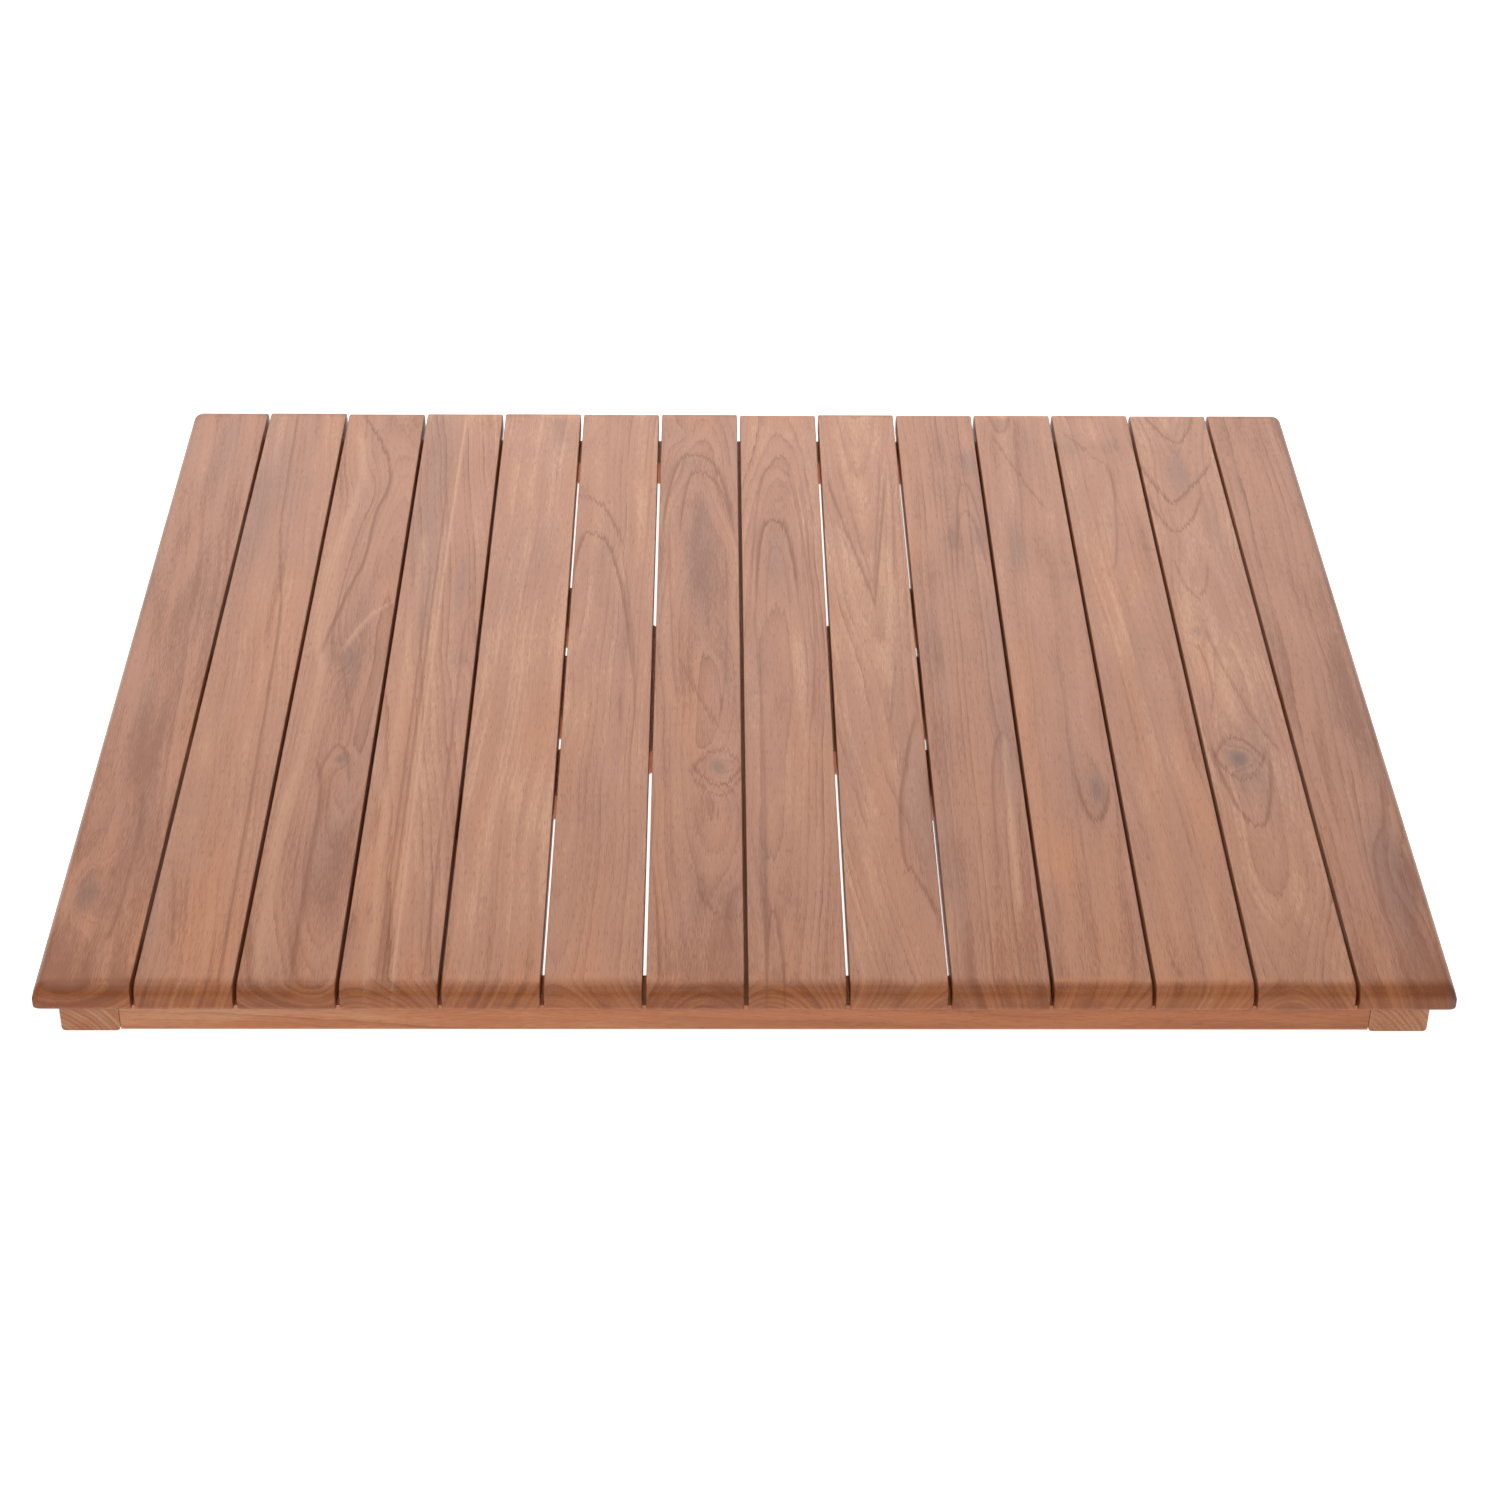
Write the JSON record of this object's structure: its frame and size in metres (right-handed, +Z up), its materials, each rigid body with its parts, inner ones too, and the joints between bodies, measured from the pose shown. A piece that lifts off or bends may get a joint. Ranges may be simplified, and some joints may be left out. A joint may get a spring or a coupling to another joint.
{
  "type": "slatted wooden bath mat",
  "caption": "Slatted hardwood bath or shower mat: parallel slats with rounded ends screwed from below to a low, diagonally braced underframe.",
  "frame": {"origin": "on the floor, at the middle of the mat's bounding box", "axes": "+X across the slats, +Y along the slats towards the back, +Z up from the floor"},
  "size_m": [0.7, 0.6, 0.03],
  "materials": {
    "teak_slat": "lightly sanded bare hardwood with a faint waxed sheen",
    "teak_rail": "planed bare hardwood, warmer in tone than the slats",
    "screw_steel": "plain stainless steel"
  },
  "bodies": {
    "root": {"back_rail": "teak_rail", "bearer_back": "teak_rail", "bearer_front": "teak_rail", "brace_left_back": "teak_rail", "brace_left_front": "teak_rail", "brace_right_back": "teak_rail", "brace_right_front": "teak_rail", "front_rail": "teak_rail", "left_rail": "teak_rail", "mid_rail": "teak_rail", "right_rail": "teak_rail", "screw_back_2": "screw_steel", "screw_back_3": "screw_steel", "screw_back_4": "screw_steel", "screw_back_5": "screw_steel", "screw_back_6": "screw_steel", "screw_back_7": "screw_steel", "screw_back_8": "screw_steel", "screw_back_9": "screw_steel", "screw_back_10": "screw_steel", "screw_back_11": "screw_steel", "screw_back_12": "screw_steel", "screw_back_13": "screw_steel", "screw_brace_left_back": "screw_steel", "screw_brace_left_front": "screw_steel", "screw_brace_right_back": "screw_steel", "screw_brace_right_front": "screw_steel", "screw_front_2": "screw_steel", "screw_front_3": "screw_steel", "screw_front_4": "screw_steel", "screw_front_5": "screw_steel", "screw_front_6": "screw_steel", "screw_front_7": "screw_steel", "screw_front_8": "screw_steel", "screw_front_9": "screw_steel", "screw_front_10": "screw_steel", "screw_front_11": "screw_steel", "screw_front_12": "screw_steel", "screw_front_13": "screw_steel", "screw_left_back": "screw_steel", "screw_left_front": "screw_steel", "screw_mid_left": "screw_steel", "screw_mid_right": "screw_steel", "screw_right_back": "screw_steel", "screw_right_front": "screw_steel", "slat_1": "teak_slat", "slat_2": "teak_slat", "slat_3": "teak_slat", "slat_4": "teak_slat", "slat_5": "teak_slat", "slat_6": "teak_slat", "slat_7": "teak_slat", "slat_8": "teak_slat", "slat_9": "teak_slat", "slat_10": "teak_slat", "slat_11": "teak_slat", "slat_12": "teak_slat", "slat_13": "teak_slat", "slat_14": "teak_slat"}
  },
  "joints": []
}
